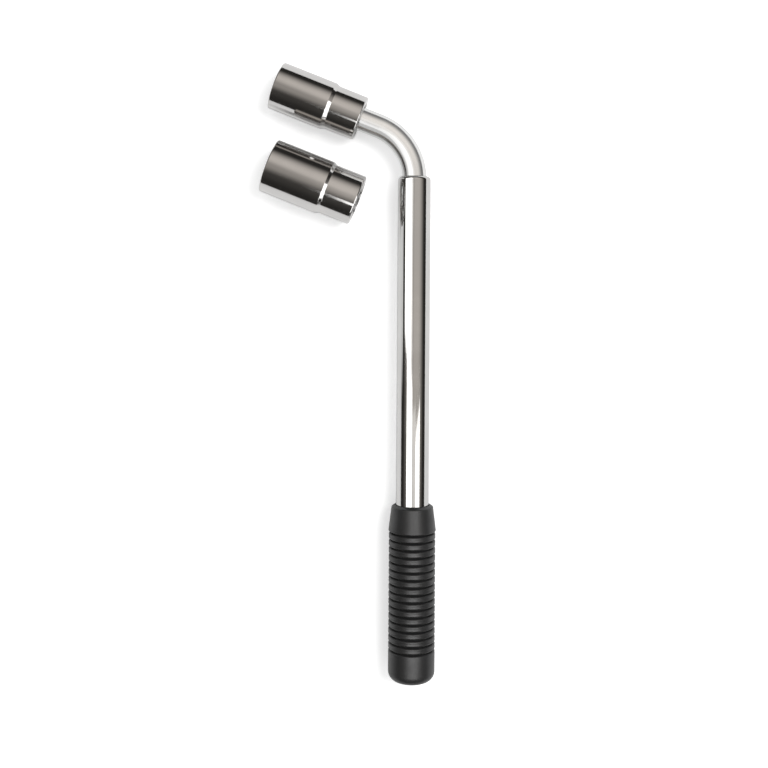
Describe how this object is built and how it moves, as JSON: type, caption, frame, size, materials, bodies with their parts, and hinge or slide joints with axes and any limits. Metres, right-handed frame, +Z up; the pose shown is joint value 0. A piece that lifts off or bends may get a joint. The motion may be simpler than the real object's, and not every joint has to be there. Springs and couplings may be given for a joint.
{
  "type": "lug wrench",
  "caption": "Telescopic L-shaped wheel-nut wrench: a bent bar slides out of a tube with a ribbed rubber grip and drives stepped double-ended sockets.",
  "frame": {"origin": "bottom centre of the whole set's box, on the surface that it lies on", "axes": "+Y along the handle towards the bent head, +X away from the sockets across the handle, +Z up"},
  "size_m": [0.1088, 0.376, 0.0334],
  "materials": {
    "tube_chrome": "polished chrome plate",
    "bar_chrome": "polished chrome plate",
    "mounted_socket_chrome": "polished chrome plate",
    "loose_socket_chrome": "polished chrome plate",
    "grip_rubber": "moulded, satin",
    "nylon": "natural nylon",
    "plug_plastic": "black moulded",
    "plain_steel": "machined",
    "ball_steel": "ground and polished"
  },
  "bodies": {
    "handle": {"outer_tube": "tube_chrome", "mouth_bush": "nylon", "rubber_grip": "grip_rubber", "tube_end_plug": "plug_plastic"},
    "carriage": {"guide_bush": "nylon"},
    "bar": {"bent_bar": "bar_chrome", "end_washer": "plain_steel", "end_screw": "plain_steel", "lock_spring": "plain_steel", "drive_spring": "plain_steel"},
    "lock_ball": {"lock_ball": "ball_steel"},
    "drive_ball": {"drive_ball": "ball_steel"},
    "mounted_socket": {"socket_17_19": "mounted_socket_chrome"},
    "loose_socket": {"socket_21_23": "loose_socket_chrome"}
  },
  "joints": [
    {"name": "telescope", "type": "slide", "parent": "handle", "child": "carriage", "axis": [0, 1, 0], "range_m": [0, 0.172]},
    {"name": "swivel", "type": "hinge", "parent": "carriage", "child": "bar", "pos_m": [0.03989, 0.11939, 0.01475], "axis": [0, 1, 0], "continuous": true},
    {"name": "lock_ball_click", "type": "slide", "parent": "bar", "child": "lock_ball", "axis": [0, 0, -1], "range_m": [0, 0.0008], "stiffness_N_per_m": 400, "springref_m": 0.001, "deforming": ["lock_spring"]},
    {"name": "drive_ball_click", "type": "slide", "parent": "bar", "child": "drive_ball", "axis": [0, 0, 1], "range_m": [0, 0.0008], "stiffness_N_per_m": 400, "springref_m": 0.001, "deforming": ["drive_spring"]},
    {"name": "socket_pull", "type": "slide", "parent": "bar", "child": "mounted_socket", "axis": [-0.9311, 0.3649, 0], "range_m": [0, 0.05]},
    {"name": "loose_socket_lift", "type": "slide", "parent": "handle", "child": "loose_socket", "axis": [0, 0, 1], "range_m": [0, 0.08]}
  ]
}
